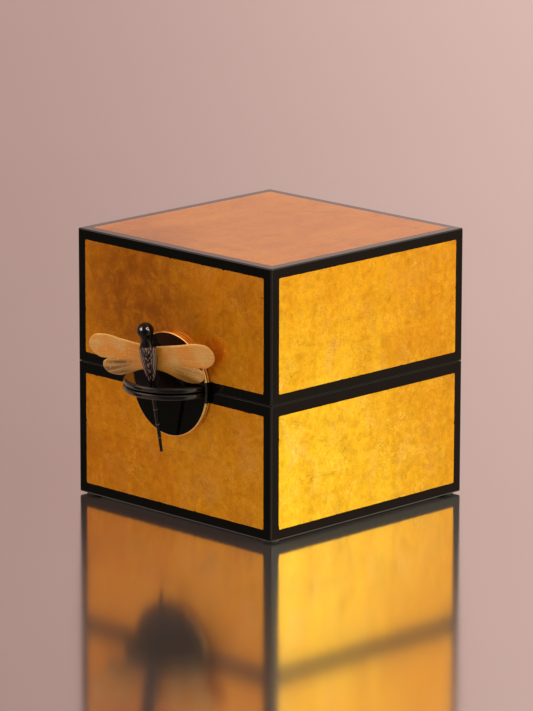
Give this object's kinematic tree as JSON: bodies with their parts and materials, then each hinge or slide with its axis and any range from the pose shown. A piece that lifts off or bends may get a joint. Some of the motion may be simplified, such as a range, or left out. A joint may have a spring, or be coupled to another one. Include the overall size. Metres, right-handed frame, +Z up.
{
  "type": "hinged keepsake box with dragonfly pin closure",
  "caption": "Cube keepsake box in black lacquer and gold leaf, hinged at mid height and held shut by a carved horn dragonfly whose tail pins the two halves' ledge plates together.",
  "frame": {"origin": "under the middle of the whole object, on the surface it stands on", "axes": "+Z up, the front with the dragonfly faces -Y, +X to the right of someone who looks at the front"},
  "size_m": [0.13, 0.1612, 0.131],
  "materials": {
    "black_lacquer": "high gloss black lacquer over board",
    "gold_leaf": "mottled gold leaf under clear lacquer",
    "black_felt": "short nap felt on card",
    "hinge_brass": "brushed, lightly aged",
    "foot_rubber": "matt",
    "black_horn": "polished black buffalo horn",
    "amber_horn": "polished translucent honey horn with pale streaks",
    "silver": "polished silver studs"
  },
  "bodies": {
    "box_base": {"base_front_wall": "black_lacquer", "base_rear_wall": "black_lacquer", "base_left_wall": "black_lacquer", "base_right_wall": "black_lacquer", "base_floor_board": "black_lacquer", "base_front_gilding": "gold_leaf", "base_rear_gilding": "gold_leaf", "base_left_gilding": "gold_leaf", "base_right_gilding": "gold_leaf", "base_lining": "black_felt", "base_boss": "black_lacquer", "base_ledge": "black_lacquer", "base_hinge_leaf_left": "hinge_brass", "base_hinge_leaf_right": "hinge_brass", "hinge_pin_left": "hinge_brass", "hinge_pin_right": "hinge_brass", "base_hinge_screw_1": "hinge_brass", "base_hinge_screw_2": "hinge_brass", "base_hinge_screw_3": "hinge_brass", "base_hinge_screw_4": "hinge_brass", "foot_front_left": "foot_rubber", "foot_front_right": "foot_rubber", "foot_rear_left": "foot_rubber", "foot_rear_right": "foot_rubber"},
    "lid": {"lid_front_wall": "black_lacquer", "lid_rear_wall": "black_lacquer", "lid_left_wall": "black_lacquer", "lid_right_wall": "black_lacquer", "lid_top_board": "black_lacquer", "lid_front_gilding": "gold_leaf", "lid_rear_gilding": "gold_leaf", "lid_left_gilding": "gold_leaf", "lid_right_gilding": "gold_leaf", "lid_top_gilding": "gold_leaf", "lid_lining": "black_felt", "lid_boss": "black_lacquer", "lid_ledge": "black_lacquer", "lid_hinge_leaf_left": "hinge_brass", "lid_hinge_leaf_right": "hinge_brass", "lid_hinge_screw_1": "hinge_brass", "lid_hinge_screw_2": "hinge_brass", "lid_hinge_screw_3": "hinge_brass", "lid_hinge_screw_4": "hinge_brass"},
    "dragonfly_tail": {"dragonfly_tail": "black_horn"},
    "dragonfly": {"dragonfly_body": "black_horn", "left_wing": "amber_horn", "right_wing": "amber_horn", "left_eye": "silver", "right_eye": "silver"}
  },
  "joints": [
    {"name": "lid_hinge", "type": "hinge", "parent": "box_base", "child": "lid", "pos_m": [0, 0.077, 0.066], "axis": [-1, 0, 0], "range_deg": [0, 110]},
    {"name": "dragonfly_lift", "type": "slide", "parent": "lid", "child": "dragonfly_tail", "axis": [0.0393, -0.2011, 0.9788], "range_m": [0, 0.04]},
    {"name": "dragonfly_turn", "type": "hinge", "parent": "dragonfly_tail", "child": "dragonfly", "pos_m": [0.0009, -0.0694, 0.069], "axis": [0.0393, -0.2011, 0.9788], "range_deg": [-8, 0]}
  ]
}
